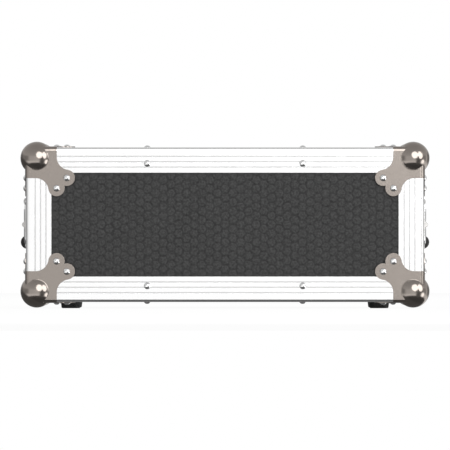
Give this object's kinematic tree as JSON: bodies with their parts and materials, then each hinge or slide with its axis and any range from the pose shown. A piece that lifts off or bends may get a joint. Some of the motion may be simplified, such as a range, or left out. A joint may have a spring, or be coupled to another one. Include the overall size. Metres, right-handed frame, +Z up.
{
  "type": "rack case",
  "caption": "Flight case for 19 inch rack equipment: boarded body with rack rails front and rear, lift-off front and rear covers, twist latches, ball corners and sprung side handles.",
  "frame": {"origin": "centre of the footprint at the level of the feet", "axes": "+Z up, -Y out of the front cover, +X to the right as seen from the front"},
  "size_m": [0.5294, 0.5344, 0.2147],
  "materials": {
    "dark_board": "dark laminate with a raised honeycomb",
    "edge_aluminium": "satin anodised",
    "frame_aluminium": "satin anodised",
    "corner_steel": "nickel plated",
    "dish_steel": "zinc plated",
    "latch_steel": "zinc plated",
    "rivet_steel": "bright",
    "rail_steel": "zinc plated",
    "screw_steel": "zinc plated",
    "foot_rubber": "matt",
    "grip_rubber": "matt"
  },
  "bodies": {
    "case_body": {"top_panel": "dark_board", "bottom_panel": "dark_board", "left_side_panel": "dark_board", "right_side_panel": "dark_board", "body_edge_angles": "edge_aluminium", "front_tongue_frame": "frame_aluminium", "rear_tongue_frame": "frame_aluminium", "corner_clamps": "dish_steel", "front_left_rail": "rail_steel", "front_right_rail": "rail_steel", "rear_left_rail": "rail_steel", "rear_right_rail": "rail_steel", "rail_screws": "screw_steel", "rubber_feet": "foot_rubber", "foot_screws": "screw_steel", "body_rivets": "rivet_steel", "latch_dishes": "dish_steel", "left_handle_dish": "dish_steel", "right_handle_dish": "dish_steel", "handle_pins": "latch_steel", "handle_springs": "latch_steel"},
    "left_handle": {"left_handle_bail": "latch_steel", "left_handle_grip": "grip_rubber"},
    "right_handle": {"right_handle_bail": "latch_steel", "right_handle_grip": "grip_rubber"},
    "front_cover": {"front_cover_panel": "dark_board", "front_cover_boards": "dark_board", "front_cover_angles": "edge_aluminium", "front_groove_frame": "frame_aluminium", "front_ball_corners": "corner_steel", "front_cover_rivets": "rivet_steel", "front_keepers": "dish_steel"},
    "rear_cover": {"rear_cover_panel": "dark_board", "rear_cover_boards": "dark_board", "rear_cover_angles": "edge_aluminium", "rear_groove_frame": "frame_aluminium", "rear_ball_corners": "corner_steel", "rear_cover_rivets": "rivet_steel", "rear_keepers": "dish_steel"},
    "front_left_latch_hub": {"front_left_latch_hub": "latch_steel"},
    "front_left_latch_link": {"front_left_latch_link": "latch_steel"},
    "front_left_latch_hook": {"front_left_latch_hook": "latch_steel"},
    "front_left_upper_wing": {"front_left_upper_wing": "latch_steel"},
    "front_left_lower_wing": {"front_left_lower_wing": "latch_steel"},
    "front_right_latch_hub": {"front_right_latch_hub": "latch_steel"},
    "front_right_latch_link": {"front_right_latch_link": "latch_steel"},
    "front_right_latch_hook": {"front_right_latch_hook": "latch_steel"},
    "front_right_upper_wing": {"front_right_upper_wing": "latch_steel"},
    "front_right_lower_wing": {"front_right_lower_wing": "latch_steel"},
    "rear_left_latch_hub": {"rear_left_latch_hub": "latch_steel"},
    "rear_left_latch_link": {"rear_left_latch_link": "latch_steel"},
    "rear_left_latch_hook": {"rear_left_latch_hook": "latch_steel"},
    "rear_left_upper_wing": {"rear_left_upper_wing": "latch_steel"},
    "rear_left_lower_wing": {"rear_left_lower_wing": "latch_steel"},
    "rear_right_latch_hub": {"rear_right_latch_hub": "latch_steel"},
    "rear_right_latch_link": {"rear_right_latch_link": "latch_steel"},
    "rear_right_latch_hook": {"rear_right_latch_hook": "latch_steel"},
    "rear_right_upper_wing": {"rear_right_upper_wing": "latch_steel"},
    "rear_right_lower_wing": {"rear_right_lower_wing": "latch_steel"}
  },
  "joints": [
    {"name": "front_cover_off", "type": "slide", "parent": "case_body", "child": "front_cover", "axis": [0, -1, 0], "range_m": [0, 0.04]},
    {"name": "rear_cover_off", "type": "slide", "parent": "case_body", "child": "rear_cover", "axis": [0, 1, 0], "range_m": [0, 0.04]},
    {"name": "front_left_hub_turn", "type": "hinge", "parent": "case_body", "child": "front_left_latch_hub", "pos_m": [-0.2538, -0.138, 0.1079], "axis": [-1, 0, 0], "range_deg": [0, 180]},
    {"name": "front_left_link_slide", "type": "slide", "parent": "case_body", "child": "front_left_latch_link", "axis": [0, -1, 0], "range_m": [0, 0.012]},
    {"name": "front_left_hook_lift", "type": "hinge", "parent": "front_left_latch_link", "child": "front_left_latch_hook", "pos_m": [-0.2533, -0.168, 0.1079], "axis": [0, 0, -1], "range_deg": [0, 80]},
    {"name": "front_left_upper_wing_fold", "type": "hinge", "parent": "front_left_latch_hub", "child": "front_left_upper_wing", "pos_m": [-0.2588, -0.138, 0.1079], "axis": [0, -1, 0], "range_deg": [0, 90], "stiffness_Nm_per_rad": 0.01, "springref_deg": -34.38},
    {"name": "front_left_lower_wing_fold", "type": "hinge", "parent": "front_left_latch_hub", "child": "front_left_lower_wing", "pos_m": [-0.2588, -0.138, 0.1079], "axis": [0, 1, 0], "range_deg": [0, 90], "stiffness_Nm_per_rad": 0.01, "springref_deg": -34.38},
    {"name": "front_right_hub_turn", "type": "hinge", "parent": "case_body", "child": "front_right_latch_hub", "pos_m": [0.2538, -0.138, 0.1079], "axis": [1, 0, 0], "range_deg": [0, 180]},
    {"name": "front_right_link_slide", "type": "slide", "parent": "case_body", "child": "front_right_latch_link", "axis": [0, -1, 0], "range_m": [0, 0.012]},
    {"name": "front_right_hook_lift", "type": "hinge", "parent": "front_right_latch_link", "child": "front_right_latch_hook", "pos_m": [0.2533, -0.168, 0.1079], "axis": [0, 0, 1], "range_deg": [0, 80]},
    {"name": "front_right_upper_wing_fold", "type": "hinge", "parent": "front_right_latch_hub", "child": "front_right_upper_wing", "pos_m": [0.2588, -0.138, 0.1079], "axis": [0, 1, 0], "range_deg": [0, 90], "stiffness_Nm_per_rad": 0.01, "springref_deg": -34.38},
    {"name": "front_right_lower_wing_fold", "type": "hinge", "parent": "front_right_latch_hub", "child": "front_right_lower_wing", "pos_m": [0.2588, -0.138, 0.1079], "axis": [0, -1, 0], "range_deg": [0, 90], "stiffness_Nm_per_rad": 0.01, "springref_deg": -34.38},
    {"name": "rear_left_hub_turn", "type": "hinge", "parent": "case_body", "child": "rear_left_latch_hub", "pos_m": [-0.2538, 0.138, 0.1079], "axis": [-1, 0, 0], "range_deg": [0, 180]},
    {"name": "rear_left_link_slide", "type": "slide", "parent": "case_body", "child": "rear_left_latch_link", "axis": [0, 1, 0], "range_m": [0, 0.012]},
    {"name": "rear_left_hook_lift", "type": "hinge", "parent": "rear_left_latch_link", "child": "rear_left_latch_hook", "pos_m": [-0.2533, 0.168, 0.1079], "axis": [0, 0, 1], "range_deg": [0, 80]},
    {"name": "rear_left_upper_wing_fold", "type": "hinge", "parent": "rear_left_latch_hub", "child": "rear_left_upper_wing", "pos_m": [-0.2588, 0.138, 0.1079], "axis": [0, -1, 0], "range_deg": [0, 90], "stiffness_Nm_per_rad": 0.01, "springref_deg": -34.38},
    {"name": "rear_left_lower_wing_fold", "type": "hinge", "parent": "rear_left_latch_hub", "child": "rear_left_lower_wing", "pos_m": [-0.2588, 0.138, 0.1079], "axis": [0, 1, 0], "range_deg": [0, 90], "stiffness_Nm_per_rad": 0.01, "springref_deg": -34.38},
    {"name": "rear_right_hub_turn", "type": "hinge", "parent": "case_body", "child": "rear_right_latch_hub", "pos_m": [0.2538, 0.138, 0.1079], "axis": [1, 0, 0], "range_deg": [0, 180]},
    {"name": "rear_right_link_slide", "type": "slide", "parent": "case_body", "child": "rear_right_latch_link", "axis": [0, 1, 0], "range_m": [0, 0.012]},
    {"name": "rear_right_hook_lift", "type": "hinge", "parent": "rear_right_latch_link", "child": "rear_right_latch_hook", "pos_m": [0.2533, 0.168, 0.1079], "axis": [0, 0, -1], "range_deg": [0, 80]},
    {"name": "rear_right_upper_wing_fold", "type": "hinge", "parent": "rear_right_latch_hub", "child": "rear_right_upper_wing", "pos_m": [0.2588, 0.138, 0.1079], "axis": [0, 1, 0], "range_deg": [0, 90], "stiffness_Nm_per_rad": 0.01, "springref_deg": -34.38},
    {"name": "rear_right_lower_wing_fold", "type": "hinge", "parent": "rear_right_latch_hub", "child": "rear_right_lower_wing", "pos_m": [0.2588, 0.138, 0.1079], "axis": [0, -1, 0], "range_deg": [0, 90], "stiffness_Nm_per_rad": 0.01, "springref_deg": -34.38},
    {"name": "left_handle_swing", "type": "hinge", "parent": "case_body", "child": "left_handle", "pos_m": [-0.2558, 0, 0.1379], "axis": [0, 1, 0], "range_deg": [0, 90], "stiffness_Nm_per_rad": 0.15, "springref_deg": -28.65},
    {"name": "right_handle_swing", "type": "hinge", "parent": "case_body", "child": "right_handle", "pos_m": [0.2558, 0, 0.1379], "axis": [0, -1, 0], "range_deg": [0, 90], "stiffness_Nm_per_rad": 0.15, "springref_deg": -28.65}
  ],
  "couplings": [
    {"joint": "front_left_hub_turn", "follows": "front_cover_off", "rad_per_m": 78.54},
    {"joint": "front_left_link_slide", "follows": "front_cover_off", "ratio": 0.3},
    {"joint": "front_left_hook_lift", "follows": "front_cover_off", "rad_per_m": 34.906},
    {"joint": "front_left_lower_wing_fold", "follows": "front_left_upper_wing_fold", "ratio": 1},
    {"joint": "front_right_hub_turn", "follows": "front_cover_off", "rad_per_m": 78.54},
    {"joint": "front_right_link_slide", "follows": "front_cover_off", "ratio": 0.3},
    {"joint": "front_right_hook_lift", "follows": "front_cover_off", "rad_per_m": 34.906},
    {"joint": "front_right_lower_wing_fold", "follows": "front_right_upper_wing_fold", "ratio": 1},
    {"joint": "rear_left_hub_turn", "follows": "rear_cover_off", "rad_per_m": 78.54},
    {"joint": "rear_left_link_slide", "follows": "rear_cover_off", "ratio": 0.3},
    {"joint": "rear_left_hook_lift", "follows": "rear_cover_off", "rad_per_m": 34.906},
    {"joint": "rear_left_lower_wing_fold", "follows": "rear_left_upper_wing_fold", "ratio": 1},
    {"joint": "rear_right_hub_turn", "follows": "rear_cover_off", "rad_per_m": 78.54},
    {"joint": "rear_right_link_slide", "follows": "rear_cover_off", "ratio": 0.3},
    {"joint": "rear_right_hook_lift", "follows": "rear_cover_off", "rad_per_m": 34.906},
    {"joint": "rear_right_lower_wing_fold", "follows": "rear_right_upper_wing_fold", "ratio": 1}
  ]
}
